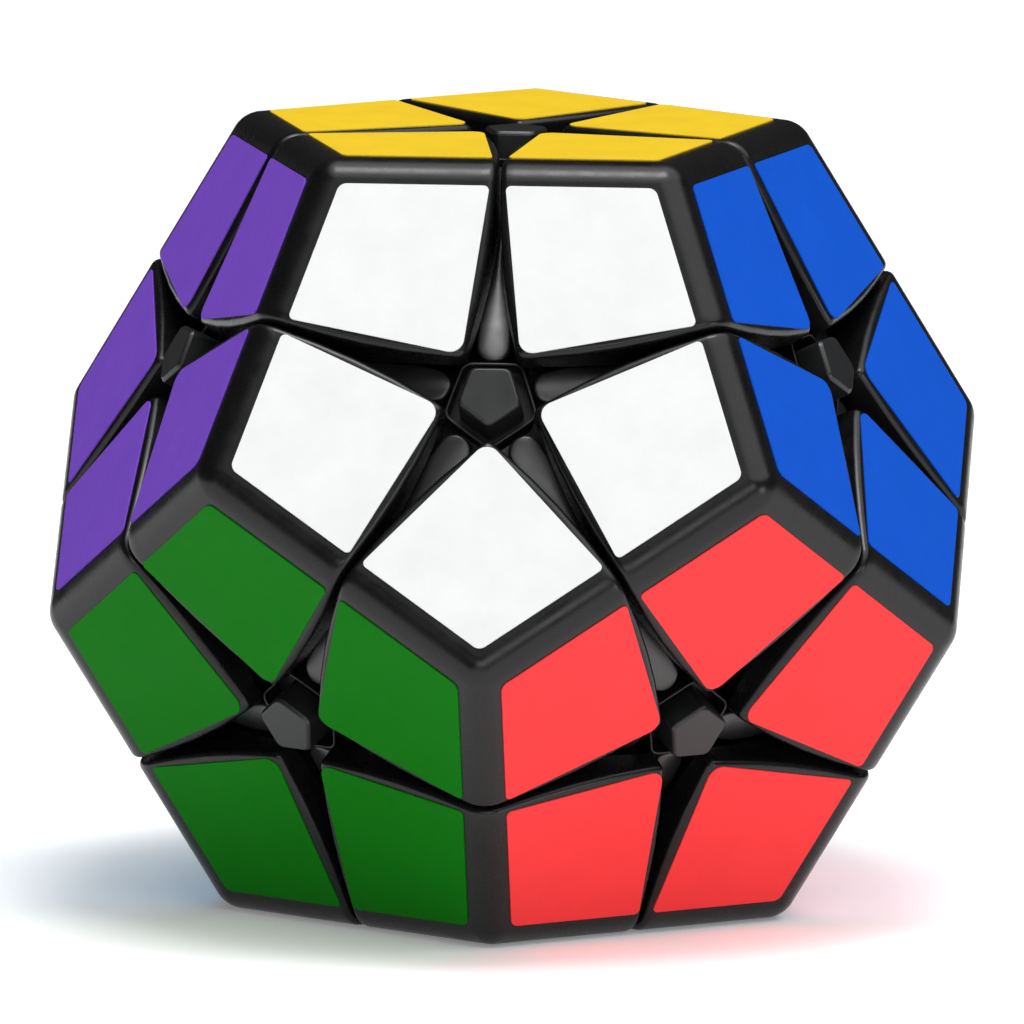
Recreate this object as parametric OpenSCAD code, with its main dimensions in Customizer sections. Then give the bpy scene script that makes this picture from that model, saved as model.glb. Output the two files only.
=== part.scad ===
// Dodecahedron twisty puzzle: twelve turning faces, corners and hidden edges.
// Every layer is cut by cones whose apex is the centre of the puzzle, one cone angle for each
// level below the surface, so each layer turns about its own face without touching the rest.
// The origin is the centre of the core, +Z leaves through the top face and the bottom face rests.

/* [Puzzle] */
// Distance between the plastic of two opposite faces
face_to_face = 72; // [60:1:90]
// Radius that the chamfers along the outer edges stand for
edge_round = 3; // [1.5:0.5:4]
// Wall of the hollow corners behind the faces and the floor of their heads
wall = 1.2; // [1:0.1:2.4]
// Wall of the neck that joins a corner's head to its foot, and of the foot
neck_wall = 1.1; // [0.8:0.1:1.6]

/* [Stickers] */
// Thickness of a vinyl sticker
sticker_thickness = 0.13; // [0.08:0.01:0.3]
// Border of bare plastic between a sticker and the sharp edge of the solid
sticker_border = 2.31; // [1.9:0.01:3.5]
// Half of the gap between two stickers where they come closest
sticker_seam = 0.72; // [0.5:0.01:1.2]
// Bare plastic left at the tip of a corner beside the hub
sticker_tip_inset = 0.24; // [0.1:0.01:0.8]
// Radius of a sticker's outer corner
sticker_outer_round = 0.9; // [0.2:0.1:1.4]
// Radius of a sticker's tip beside the hub
sticker_tip_round = 1.3; // [0.2:0.1:1.6]
// Radius of a sticker's two corners beside the seams
sticker_seam_round = 0.5; // [0.2:0.1:1]

/* [Cuts] */
// Cone half-angle of the cuts at the level of the petals
petal_cut = 56.75; // [56:0.25:57.5]
// Cone half-angle of the cuts at the level of the hub discs
disc_cut = 48; // [46:0.5:50]
// Cone half-angle of the cuts at the level of the feet
foot_cut = 54; // [53:0.25:55]
// Half of the angle left open at each cut
cut_gap = 0.3; // [0.2:0.05:0.4]
// Radial running gap between two levels
level_gap = 0.2; // [0.15:0.05:0.4]

/* [Levels] */
// Depth of the hub's rim below the face
hub_recess = 2.4; // [2:0.1:4]
// Depth of the petals' round top below the hub's rim
petal_drop = 0.2; // [0.1:0.1:1]
// Thickness of a petal
petal_thickness = 3.2; // [2:0.1:4]
// Width of a petal's tongue
petal_width = 3; // [2:0.1:3.4]
// Thickness of a hub's disc, and of the edge bodies and corner necks beside it
disc_thickness = 5.8; // [4:0.1:7]
// Thickness of the feet that the discs hold down
foot_thickness = 5; // [3:0.1:6]

/* [Hubs and caps] */
// Length trimmed off each point of the hub's five-sided tower
hub_trim = 0.3; // [0.1:0.05:0.6]
// Radius of the cup that holds the spring
cup_r = 2.4; // [2:0.05:2.6]
// Height of the cap above the hub's rim
cap_rise = 2.4; // [0.8:0.1:2.8]
// Gap between a cap's flats and the corners that pass them
cap_gap = 0.25; // [0.15:0.05:0.4]
// Width of the slope around the cap's top
cap_bevel = 0.3; // [0.2:0.1:1]
// Length of the cap's plug inside the cup
plug_length = 1.2; // [0.6:0.1:2]

/* [Core, screws and springs] */
// Radius of the core's ball
core_r = 9; // [7:0.5:10]
// Radius of a screw's shank
screw_r = 0.95; // [0.8:0.05:1.2]
// Radial gap between a screw's head and the cup
head_gap = 0.4; // [0.3:0.05:0.6]
// Height of a screw's head
screw_head_h = 1.1; // [0.8:0.1:1.4]
// Length of thread that each screw has in the core
screw_grip = 9; // [6:0.5:10]
// Radial gap round a screw in the core, in the washer and in the hub
screw_gap = 0.05; // [0.03:0.01:0.1]
// Radial gap between a washer and the cup
washer_gap = 0.25; // [0.15:0.05:0.4]
// Thickness of a washer
washer_h = 0.4; // [0.3:0.1:0.8]
// Radial gap between a spring and the cup
spring_gap = 0.45; // [0.3:0.05:0.6]
// Half of the spring wire's thickness
wire_r = 0.2; // [0.15:0.05:0.25]
// Length of a spring in place
spring_length = 4.6; // [3:0.1:5]
// Turns of a spring
spring_turns = 4.5; // [3:0.5:6]

/* [Hidden] */
$fn = 64;
plastic = "#1b1c1e";
colours = ["#f2d038", "#f9fafa", "#1a56ce", "#8cc63f", "#f08a24", "#7a58b6",
           "#e83c3c", "#f4a6c0", "#8c9196", "#7cc4ec", "#147a18", "#f3ead0"];

// Faces by number: 0 is the top, 1 to 5 the upper ring, 6 to 10 the lower ring, 11 the bottom
YELLOW = 0;
WHITE = 1;
BLUE = 2;
LIME = 3;
ORANGE = 4;
PURPLE = 5;
RED = 6;
PINK = 7;
GRAY = 8;
LIGHTBLUE = 9;
GREEN = 10;
CREAM = 11;
ALL_FACES = [0 : 11];
// Each turning layer is named by its face, and what belongs to none of them is the frame
FRAME = -1;

// Angles of the regular dodecahedron
ring_tilt = atan(0.5);
face_step = 90 - ring_tilt;
edge_tilt = face_step / 2;
corner_tilt = acos(sqrt((5 + 2 * sqrt(5)) / 15));
outer_cut = acos(sin(edge_tilt));

// Directions of faces, edges and corners as unit vectors
function polar(az, el) = [cos(el) * cos(az), cos(el) * sin(az), sin(el)];
function face_dir(f) = f == YELLOW ? polar(0, 90) : f == CREAM ? polar(0, -90)
                     : f <= PURPLE ? polar(72 * (f - WHITE) - 90, ring_tilt)
                     : polar(72 * (f - RED) - 54, -ring_tilt);
function unit(v) = v / norm(v);
function middle_dir(faces) = unit([for (f = faces) 1] * [for (f = faces) face_dir(f)]);
function beside(f, g) = abs(face_dir(f) * face_dir(g) - cos(face_step)) < 0.01;
function neighbours(f) = [for (g = ALL_FACES) if (beside(f, g)) g];
function common(f, g) = [for (h = ALL_FACES) if (beside(f, h) && beside(g, h)) h];

// Corners are triples of faces and edges are pairs
ALL_CORNERS = [for (f = ALL_FACES) for (g = [f : 11]) for (h = [g : 11])
               if (beside(f, g) && beside(g, h) && beside(f, h)) [f, g, h]];
ALL_EDGES = [for (f = ALL_FACES) for (g = [f : 11]) if (beside(f, g)) [f, g]];
function has(faces, f) = len([for (g = faces) if (g == f) g]) > 0;
function owner(faces) = has(faces, YELLOW) ? YELLOW : has(faces, RED) ? RED
                      : has(faces, LIGHTBLUE) ? LIGHTBLUE : FRAME;
function owned(pieces, layer) = [for (p = pieces) if (owner(p) == layer) p];
function owned_faces(layer) = [for (f = ALL_FACES) if (owner([f]) == layer) f];

// Levels, from the faces down to the core
face_r = face_to_face / 2;
hub_top = face_r - hub_recess;
hub_r = hub_top * tan(face_step - petal_cut - cut_gap) / cos(36) - hub_trim;
head_in = norm([hub_top, hub_r]) + level_gap;
petal_out = hub_top - petal_drop;
petal_in = petal_out - petal_thickness;
disc_out = petal_in - level_gap;
disc_in = disc_out - disc_thickness;
foot_out = disc_in - level_gap;
foot_in = foot_out - foot_thickness;
post_out = foot_in - 2 * level_gap;
// Overlap of two levels of one piece
bite = 0.6;
// Gap between pieces that are pushed together and stay so
seat_gap = 0.05;

// Sizes that follow from the ones above
reach = 2 * face_r;
face_apothem = face_r * tan(edge_tilt);
edge_r = face_r / cos(edge_tilt);
corner_r = face_r / cos(corner_tilt);
edge_flat_r = (face_r - edge_round) / cos(edge_tilt) + edge_round;
corner_flat_r = (face_r - edge_round) / cos(corner_tilt) + edge_round;
neck_hollow = disc_cut - cut_gap - asin(neck_wall / disc_in);
head_hollow = outer_cut - cut_gap - asin(wall / head_in);
stem_r = foot_in * tan(face_step - foot_cut + cut_gap) - level_gap - seat_gap;
post_root = core_r - 1.5;
screw_hole_r = screw_r + screw_gap;
screw_head_r = cup_r - head_gap;
washer_r = cup_r - washer_gap;
spring_r = cup_r - spring_gap - wire_r;
cup_floor = disc_in + bite;
washer_z = cup_floor + spring_length + 2 * seat_gap;
head_z = washer_z + washer_h + seat_gap;
cap_plug_r = cup_r - seat_gap;
cap_apothem = hub_top * tan(face_step - outer_cut - cut_gap) - cap_gap;
cap_top = hub_top + cap_rise;

// Turns +Z to z_dir and +X as near as it can be to x_dir
module aim(z_dir, x_dir = undef) {
    hint = is_undef(x_dir) ? (abs(z_dir.z) > 0.9 ? [1, 0, 0] : [0, 0, 1]) : x_dir;
    z = unit(z_dir);
    y = unit(cross(z, hint));
    x = cross(y, z);
    multmatrix([[x.x, y.x, z.x, 0], [x.y, y.y, z.y, 0], [x.z, y.z, z.z, 0], [0, 0, 0, 1]]) children();
}

// Face frame: +Z leaves through the face and +X points at one of its corners
module at_face(f) {
    aim(face_dir(f), -face_dir(neighbours(f)[0])) children();
}

// Everything within half_angle of a face's axis, with the surface's seam turned away from a piece
module cone(f, half_angle, piece_dir) {
    aim(face_dir(f), -piece_dir) cylinder(h = reach, r1 = 0, r2 = reach * tan(half_angle), $fn = 128);
}

// What lies between two radii, with the seams and poles turned away from a piece
module level(r_in, r_out, piece_dir) {
    side = cross(piece_dir, abs(piece_dir.z) > 0.9 ? [1, 0, 0] : [0, 0, 1]);
    aim(side, -piece_dir) difference() {
        sphere(r_out, $fn = 128);
        sphere(r_in, $fn = 128);
    }
}

// Everything below a plane at distance d in direction dir
module below(dir, d) {
    aim(dir) translate([-reach, -reach, d - 2 * reach]) cube(2 * reach);
}

// The part of a level inside the cones of some faces and outside the cones of others
module wedge(r_in, r_out, inside, inside_cut, outside = [], outside_cut = 0) {
    piece_dir = middle_dir(inside);
    difference() {
        intersection() {
            level(r_in, r_out, piece_dir);
            cone(inside[0], inside_cut, piece_dir);
            cone(inside[1], inside_cut, piece_dir);
            if (len(inside) > 2)
                cone(inside[2], inside_cut, piece_dir);
        }
        for (f = outside)
            cone(f, outside_cut, piece_dir);
    }
}

// Three faces with the chamfers between them, as far as the planes at distance d
module corner_block(faces, d, edge_d, corner_d) {
    intersection() {
        below(face_dir(faces[0]), d);
        below(face_dir(faces[1]), d);
        below(face_dir(faces[2]), d);
        below(middle_dir([faces[0], faces[1]]), edge_d);
        below(middle_dir([faces[1], faces[2]]), edge_d);
        below(middle_dir([faces[0], faces[2]]), edge_d);
        below(middle_dir(faces), corner_d);
    }
}

// Hollow corner: a head under the faces and a neck that runs down to the foot
module corner_shell(faces) {
    color(plastic) difference() {
        union() {
            intersection() {
                wedge(head_in, corner_r, faces, outer_cut - cut_gap);
                corner_block(faces, face_r, edge_flat_r, corner_flat_r);
            }
            wedge(petal_in, head_in + bite, faces, petal_cut - cut_gap);
            wedge(foot_out + seat_gap, disc_out + 2 * bite, faces, disc_cut - cut_gap);
        }
        intersection() {
            wedge(foot_in, corner_r, faces, neck_hollow);
            corner_block(faces, face_r - wall, edge_r, corner_r);
        }
        intersection() {
            wedge(head_in + wall, corner_r, faces, head_hollow);
            corner_block(faces, face_r - wall, edge_r, corner_r);
        }
    }
}

// Foot of a corner, hollow below, with the plug that holds it in the neck
module corner_foot(faces) {
    fit = asin(seat_gap / foot_out);
    foot_hollow = foot_cut - cut_gap - asin(neck_wall / foot_in);
    color(plastic) difference() {
        union() {
            wedge(foot_in, foot_out, faces, foot_cut - cut_gap);
            wedge(foot_out - bite, foot_out + disc_thickness / 2, faces, neck_hollow - fit);
        }
        wedge(foot_in - bite, foot_out - 2 * neck_wall, faces, foot_hollow);
    }
}

// Outline of a petal seen from above: a tongue to each side with a round end
module petal_outline() {
    half_length = petal_out * sin(petal_cut - cut_gap - edge_tilt);
    r = petal_width / 2;
    ends = concat([for (a = [-90 : 15 : 90]) [half_length - r, 0] + r * [cos(a), sin(a)]],
                  [for (a = [90 : 15 : 270]) [r - half_length, 0] + r * [cos(a), sin(a)]]);
    polygon(ends);
}

// Hidden edge piece: petal on top, body under the corners and foot under the discs
module edge_piece(faces) {
    ends = common(faces[0], faces[1]);
    in_disc = disc_cut - cut_gap;
    color(plastic) union() {
        intersection() {
            wedge(petal_in, petal_out, faces, petal_cut - cut_gap, ends, petal_cut + cut_gap);
            aim(middle_dir(faces), face_dir(faces[0])) linear_extrude(reach) petal_outline();
        }
        wedge(disc_out - bite, petal_in + bite, faces, in_disc, ends, petal_cut + cut_gap);
        wedge(disc_in, disc_out, faces, in_disc, ends, disc_cut + cut_gap);
        wedge(foot_out - bite, disc_in + bite, faces, in_disc, ends, foot_cut + cut_gap);
        wedge(foot_in, foot_out, faces, foot_cut - cut_gap, ends, foot_cut + cut_gap);
    }
}

// Hub at the middle of a face: tower, disc and stem, with a cup for the spring. The tower is turned
// by half a side, so that the seam of its round surface lies where the cones cut it away.
module hub(f) {
    color(plastic) difference() {
        union() {
            difference() {
                at_face(f) translate([0, 0, disc_out - bite]) rotate(36)
                    cylinder(h = hub_top - disc_out + bite, r = hub_r);
                for (g = neighbours(f))
                    cone(g, petal_cut + cut_gap, face_dir(f));
            }
            difference() {
                intersection() {
                    level(disc_in, disc_out, face_dir(f));
                    at_face(f) cylinder(h = face_r, r = disc_out / 2);
                }
                for (g = neighbours(f))
                    cone(g, disc_cut + cut_gap, face_dir(f));
            }
            at_face(f) translate([0, 0, post_out + level_gap])
                cylinder(h = disc_in + bite - post_out, r = stem_r);
        }
        at_face(f) translate([0, 0, cup_floor]) cylinder(h = face_r, r = cup_r);
        at_face(f) cylinder(h = face_r, r = screw_hole_r);
    }
}

// Five-sided cap with a sloped border, pushed into the hub's cup
module cap(f) {
    cap_r = cap_apothem / cos(36);
    slope_d = (cap_apothem + cap_top - cap_bevel) / sqrt(2);
    color(plastic) at_face(f) {
        translate([0, 0, hub_top - plug_length]) cylinder(h = plug_length + bite, r = cap_plug_r);
        intersection() {
            translate([0, 0, hub_top]) cylinder(h = cap_rise, r = cap_r, $fn = 5);
            intersection_for(a = [36 : 72 : 324])
                below([cos(a), sin(a), 1], slope_d);
        }
    }
}

// Ball with twelve posts, each with a hole for a screw
module core() {
    color("#2a2b2e") difference() {
        union() {
            sphere(core_r);
            for (f = ALL_FACES)
                at_face(f) translate([0, 0, post_root]) cylinder(h = post_out - post_root, r = stem_r);
        }
        for (f = ALL_FACES)
            at_face(f) translate([0, 0, post_out - screw_grip]) cylinder(h = reach, r = screw_hole_r);
    }
}

// Pan-head screw with a cross recess
module screw(f) {
    tip_z = post_out - screw_grip + seat_gap;
    recess = screw_head_r;
    color("#b9bcc0") at_face(f) difference() {
        union() {
            translate([0, 0, tip_z]) cylinder(h = head_z - tip_z + bite, r = screw_r);
            translate([0, 0, head_z]) cylinder(h = screw_head_h, r = screw_head_r);
        }
        for (a = [0, 90])
            rotate(a) translate([-recess / 2, -recess / 8, head_z + screw_head_h / 2])
                cube([recess, recess / 4, screw_head_h]);
    }
}

// Flat washer between a screw's head and its spring
module washer(f) {
    color("#c9ccd0") at_face(f) translate([0, 0, washer_z]) difference() {
        cylinder(h = washer_h, r = washer_r);
        translate([0, 0, -washer_h]) cylinder(h = 3 * washer_h, r = screw_hole_r);
    }
}

// Wire of a spring as a helix of four-sided rings
module spring(f) {
    steps = 12 * spring_turns;
    rise = spring_length - 2 * wire_r;
    function ring(i) = [for (a = [0 : 90 : 270]) let (turn = 30 * i, r = spring_r + wire_r * cos(a))
                        [r * cos(turn), r * sin(turn), rise * i / steps + wire_r * (1 + sin(a))]];
    points = [for (i = [0 : steps]) each ring(i)];
    sides = [for (i = [0 : steps - 1], k = [0 : 3])
             [4 * i + k, 4 * i + (k + 1) % 4, 4 * i + 4 + (k + 1) % 4, 4 * i + 4 + k]];
    caps = [[3, 2, 1, 0], [4 * steps, 4 * steps + 1, 4 * steps + 2, 4 * steps + 3]];
    color("#d2d5d8") at_face(f) translate([0, 0, cup_floor + seat_gap])
        polyhedron(points, concat(sides, caps));
}

// Points of an arc that rounds the corner at p between the points before and after it
function rounded(before, p, after, r) =
    let (u = unit(before - p), v = unit(after - p), half = acos(u * v) / 2, w = unit(u + v),
         middle = p + w * r / sin(half), side = sign(u.y * v.x - u.x * v.y), start = atan2(-w.y, -w.x))
    [for (k = [-2 : 2]) let (a = start + side * k * (90 - half) / 2) middle + r * [cos(a), sin(a)]];

// Kite of one sticker in the face frame, tip towards the hub and outer end on +X
module kite() {
    hub_gap = face_r * tan(face_step - outer_cut + cut_gap);
    tip = [(hub_gap + sticker_tip_inset) / cos(36), 0];
    line = face_apothem - sticker_border;
    outer = [line / cos(36), 0];
    left = line * [cos(36), sin(36)] + sticker_seam * [sin(36), -cos(36)];
    right = [left.x, -left.y];
    polygon(concat(rounded(left, outer, right, sticker_outer_round),
                   rounded(outer, right, tip, sticker_seam_round),
                   rounded(right, tip, left, sticker_tip_round),
                   rounded(tip, left, outer, sticker_seam_round)));
}

// The stickers of one face that lie on the corners of one layer
module stickers(layer, f) {
    color(colours[f]) for (c = owned(ALL_CORNERS, layer))
        if (has(c, f))
            aim(face_dir(f), middle_dir(c)) translate([0, 0, face_r])
                linear_extrude(sticker_thickness) kite();
}

module edge_pieces(layer) {
    for (e = owned(ALL_EDGES, layer))
        edge_piece(e);
}

module corner_shells(layer) {
    for (c = owned(ALL_CORNERS, layer))
        corner_shell(c);
}

module corner_feet(layer) {
    for (c = owned(ALL_CORNERS, layer))
        corner_foot(c);
}

module hubs(layer) {
    for (f = owned_faces(layer))
        hub(f);
}

module caps(layer) {
    for (f = owned_faces(layer))
        cap(f);
}

module screws() {
    for (f = ALL_FACES)
        screw(f);
}

module springs() {
    for (f = ALL_FACES)
        spring(f);
}

module washers() {
    for (f = ALL_FACES)
        washer(f);
}

core();
screws();
springs();
washers();
hubs(YELLOW);  // top_hub
hubs(RED);  // red_hub
hubs(LIGHTBLUE);  // lightblue_hub
hubs(FRAME);  // frame_hubs
caps(YELLOW);  // top_cap
caps(RED);  // red_cap
caps(LIGHTBLUE);  // lightblue_cap
caps(FRAME);  // frame_caps
edge_pieces(YELLOW);  // top_edges
edge_pieces(RED);  // red_edges
edge_pieces(LIGHTBLUE);  // lightblue_edges
edge_pieces(FRAME);  // frame_edges
corner_shell(owned(ALL_CORNERS, YELLOW)[0]);  // top_corner_1
corner_shell(owned(ALL_CORNERS, YELLOW)[1]);  // top_corner_2
corner_shell(owned(ALL_CORNERS, YELLOW)[2]);  // top_corner_3
corner_shell(owned(ALL_CORNERS, YELLOW)[3]);  // top_corner_4
corner_shell(owned(ALL_CORNERS, YELLOW)[4]);  // top_corner_5
corner_shell(owned(ALL_CORNERS, RED)[0]);  // red_corner_1
corner_shell(owned(ALL_CORNERS, RED)[1]);  // red_corner_2
corner_shell(owned(ALL_CORNERS, RED)[2]);  // red_corner_3
corner_shell(owned(ALL_CORNERS, RED)[3]);  // red_corner_4
corner_shell(owned(ALL_CORNERS, RED)[4]);  // red_corner_5
corner_shells(LIGHTBLUE);  // lightblue_corners
corner_shells(FRAME);  // frame_corners
corner_feet(YELLOW);  // top_corner_feet
corner_feet(RED);  // red_corner_feet
corner_feet(LIGHTBLUE);  // lightblue_corner_feet
corner_feet(FRAME);  // frame_corner_feet
stickers(YELLOW, YELLOW);  // top_yellow_stickers
stickers(YELLOW, WHITE);  // top_white_stickers
stickers(YELLOW, BLUE);  // top_blue_stickers
stickers(YELLOW, LIME);  // top_lime_stickers
stickers(YELLOW, ORANGE);  // top_orange_stickers
stickers(YELLOW, PURPLE);  // top_purple_stickers
stickers(RED, RED);  // red_red_stickers
stickers(RED, WHITE);  // red_white_stickers
stickers(RED, BLUE);  // red_blue_stickers
stickers(RED, PINK);  // red_pink_stickers
stickers(RED, GREEN);  // red_green_stickers
stickers(RED, CREAM);  // red_cream_stickers
stickers(LIGHTBLUE, LIGHTBLUE);  // lightblue_lightblue_stickers
stickers(LIGHTBLUE, ORANGE);  // lightblue_orange_stickers
stickers(LIGHTBLUE, PURPLE);  // lightblue_purple_stickers
stickers(LIGHTBLUE, GRAY);  // lightblue_gray_stickers
stickers(LIGHTBLUE, GREEN);  // lightblue_green_stickers
stickers(LIGHTBLUE, CREAM);  // lightblue_cream_stickers
stickers(FRAME, WHITE);  // frame_white_sticker
stickers(FRAME, BLUE);  // frame_blue_sticker
stickers(FRAME, LIME);  // frame_lime_stickers
stickers(FRAME, ORANGE);  // frame_orange_sticker
stickers(FRAME, PURPLE);  // frame_purple_sticker
stickers(FRAME, PINK);  // frame_pink_stickers
stickers(FRAME, GRAY);  // frame_gray_stickers
stickers(FRAME, GREEN);  // frame_green_sticker
stickers(FRAME, CREAM);  // frame_cream_sticker
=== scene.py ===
"""Looks of the dodecahedron twisty puzzle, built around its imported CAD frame.

Corners, edge pieces, hubs, caps and stickers are modelled here, once each, and turned into place.
The core, the feet, the screws, the springs and the washers stay the CAD's and get their finish.
"""

import math

import bmesh
import bpy
from mathutils import Matrix, Vector


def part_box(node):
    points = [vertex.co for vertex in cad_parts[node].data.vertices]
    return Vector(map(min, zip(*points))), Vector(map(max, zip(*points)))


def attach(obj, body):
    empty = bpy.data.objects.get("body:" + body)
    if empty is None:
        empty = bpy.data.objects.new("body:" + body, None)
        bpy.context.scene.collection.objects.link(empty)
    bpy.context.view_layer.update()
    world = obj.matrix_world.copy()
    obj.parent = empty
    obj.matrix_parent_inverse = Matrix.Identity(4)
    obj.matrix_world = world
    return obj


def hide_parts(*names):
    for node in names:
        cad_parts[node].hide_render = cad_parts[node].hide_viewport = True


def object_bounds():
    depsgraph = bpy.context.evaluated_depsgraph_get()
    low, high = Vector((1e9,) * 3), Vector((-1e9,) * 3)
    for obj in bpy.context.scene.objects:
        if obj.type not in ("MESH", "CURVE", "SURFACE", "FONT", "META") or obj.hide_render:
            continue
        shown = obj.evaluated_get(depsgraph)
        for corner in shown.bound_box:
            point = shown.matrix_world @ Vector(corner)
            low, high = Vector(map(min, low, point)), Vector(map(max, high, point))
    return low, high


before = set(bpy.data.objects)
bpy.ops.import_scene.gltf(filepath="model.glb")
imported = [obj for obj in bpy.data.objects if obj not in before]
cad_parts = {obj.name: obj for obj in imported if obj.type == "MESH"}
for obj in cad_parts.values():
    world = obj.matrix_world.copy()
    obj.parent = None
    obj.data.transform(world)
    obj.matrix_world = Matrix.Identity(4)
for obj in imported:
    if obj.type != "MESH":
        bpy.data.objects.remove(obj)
CAD_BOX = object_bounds()

bl_info = {
    "name": "Dodecahedron Twisty Puzzle",
    "version": (1, 0, 0),
    "blender": (4, 5, 0),
    "location": "3D View > Sidebar > Puzzle",
    "description": "Builds the pieces of a dodecahedron twisty puzzle around its CAD frame",
    "category": "Object",
}

# Meshes are modelled in millimetres and scaled to metres when they are finished
MM = 0.001

# Faces by number: 0 is the top, 1 to 5 the upper ring, 6 to 10 the lower ring, 11 the bottom
COLOURS = ("yellow", "white", "blue", "lime", "orange", "purple",
           "red", "pink", "gray", "lightblue", "green", "cream")
TOP, BOTTOM, UPPER_RING, LOWER_RING = 0, 11, 1, 6
# Turning layers by the number of their face; what belongs to none of them is the frame's
LAYERS = {0: "top", 6: "red", 9: "lightblue"}
FRAME = "frame"
BODIES = {"top": "top_layer", "red": "red_layer", "lightblue": "lightblue_layer", FRAME: "core_frame"}

# Angles of the regular dodecahedron
FIFTH = math.tau / 5
RING_TILT = math.atan(0.5)
FACE_STEP = math.pi / 2 - RING_TILT
EDGE_TILT = FACE_STEP / 2
OUTER_CUT = math.acos(math.sin(EDGE_TILT))

# Sizes that the frame gives, in millimetres
FACE_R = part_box("top_corner_1")[1].z / MM
STICKER_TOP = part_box("top_yellow_stickers")[1].z / MM
HUB_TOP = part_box("top_hub")[1].z / MM
CAP_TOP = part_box("top_cap")[1].z / MM
STEM_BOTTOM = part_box("top_hub")[0].z / MM
FACE_APOTHEM = FACE_R * math.tan(EDGE_TILT)

# Gap below a corner's neck, how far a sticker or a cap sinks into what it sits on, and how far
# below a top an edge may lie and still count as part of it
SEAT_GAP = 0.05
SINK = 0.01
TOP_BAND = 0.05

# Angles in radians: the most by which two neighbouring faces may miss their usual angle, and the
# most and the least by which the distances of a corner's tip from its faces may differ
ANGLE_SLACK = 0.01
SAME_ANGLE = 0.001
OTHER_ANGLE = 0.1


def face_dir(face):
    """Unit vector from the core out through a face."""
    if face in (TOP, BOTTOM):
        return Vector((0, 0, 1 if face == TOP else -1))
    upper = face < LOWER_RING
    turn = FIFTH * (face - UPPER_RING) - math.pi / 2 if upper else FIFTH * (face - LOWER_RING - 0.75)
    tilt = RING_TILT if upper else -RING_TILT
    return Vector((math.cos(tilt) * math.cos(turn), math.cos(tilt) * math.sin(turn), math.sin(tilt)))


FACES = [face_dir(face) for face in range(len(COLOURS))]


def beside(one, two):
    """Whether two faces share an edge."""
    return abs(FACES[one].angle(FACES[two]) - FACE_STEP) < ANGLE_SLACK


def neighbours(*faces):
    """The faces that lie beside every one of these."""
    return [other for other in range(len(FACES)) if all(beside(face, other) for face in faces)]


def layer_of(faces):
    """The layer that owns a piece which shows on these faces."""
    return next((LAYERS[face] for face in LAYERS if face in faces), FRAME)


EDGES = [(one, two) for one in range(len(FACES)) for two in neighbours(one) if one < two]
CORNERS = [(one, two, three) for one, two in EDGES for three in neighbours(one, two) if two < three]


def axes(first, second):
    """Rotation whose columns are first, what is square to it towards second, and their cross product."""
    across = (second - first * second.dot(first)).normalized()
    return Matrix((first, across, first.cross(across))).transposed()


def turn_between(old, new):
    """Rotation that takes one ordered pair of faces to another."""
    turned = axes(FACES[new[0]], FACES[new[1]]) @ axes(FACES[old[0]], FACES[old[1]]).transposed()
    return turned.to_4x4()


def right_handed(corner):
    """A corner's three faces in anticlockwise order, seen from outside."""
    one, two, three = corner
    return corner if FACES[one].cross(FACES[two]).dot(FACES[three]) > 0 else (one, three, two)


# ---------------------------------------------------------------- sizes and colours

def length(name, millimetres, description):
    return bpy.props.FloatProperty(
        name=name, description=description, default=millimetres * MM, subtype="DISTANCE", unit="LENGTH")


def angle(name, degrees, description):
    return bpy.props.FloatProperty(
        name=name, description=description, default=math.radians(degrees), subtype="ANGLE", unit="ROTATION")


def count(name, default, description):
    return bpy.props.IntProperty(name=name, description=description, default=default, min=1)


def share(name, default, description):
    return bpy.props.FloatProperty(
        name=name, description=description, default=default, min=0, max=1, subtype="FACTOR")


def linear(red, green, blue):
    """Linear colour from the 0 to 255 values of a colour picker."""
    def channel(value):
        value /= 255
        return value / 12.92 if value <= 0.04045 else ((value + 0.055) / 1.055) ** 2.4
    return channel(red), channel(green), channel(blue)


def colour(name, picked, description):
    return bpy.props.FloatVectorProperty(
        name=name, description=description, default=linear(*picked), subtype="COLOR", size=3, min=0, max=1)


class PuzzleCuts(bpy.types.PropertyGroup):
    """Cones and levels that part the pieces from each other."""
    cut_gap: angle("Cut gap", 0.3, "Half of the angle left open at each cut")
    petal_cut: angle("Petal cut", 56.75, "Cone half-angle at the level of the petals")
    tongue_cut: angle("Tongue cut", 57.4, "Cone half-angle that narrows a petal between two corners")
    disc_cut: angle("Disc cut", 48, "Cone half-angle at the level of the hub discs")
    foot_cut: angle("Foot cut", 54, "Cone half-angle at the level of the feet")
    level_gap: length("Level gap", 0.2, "Running gap between two levels")
    petal_drop: length("Petal drop", 0.2, "Depth of the petals below the hub's rim")
    petal_thickness: length("Petal thickness", 3.2, "Thickness of a petal")
    disc_thickness: length("Disc thickness", 5.8, "Thickness of a hub's disc")
    foot_thickness: length("Foot thickness", 5, "Thickness of the feet")


class PuzzleCorner(bpy.types.PropertyGroup):
    """Sizes of the corner pieces."""
    edge_radius: length("Edge radius", 3, "Radius of the rounded outer edges")
    rim_radius: length("Rim radius", 0.62, "Radius along the rim of each facet, beside the gaps")
    tip_radius: length("Tip radius", 1.3, "Radius of the upright edge beside the hub")
    head_floor: length("Head floor", 34.08, "Distance from the core to the floor of a head")
    flat_rows: count("Flat rows", 5, "Rows of faces across the flat of a facet")
    round_rows: count("Round rows", 5, "Rows of faces across half of a rounded outer edge")
    rim_share: share("Rim row", 0.09, "Share of a facet taken by the row beside the gap")


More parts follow.
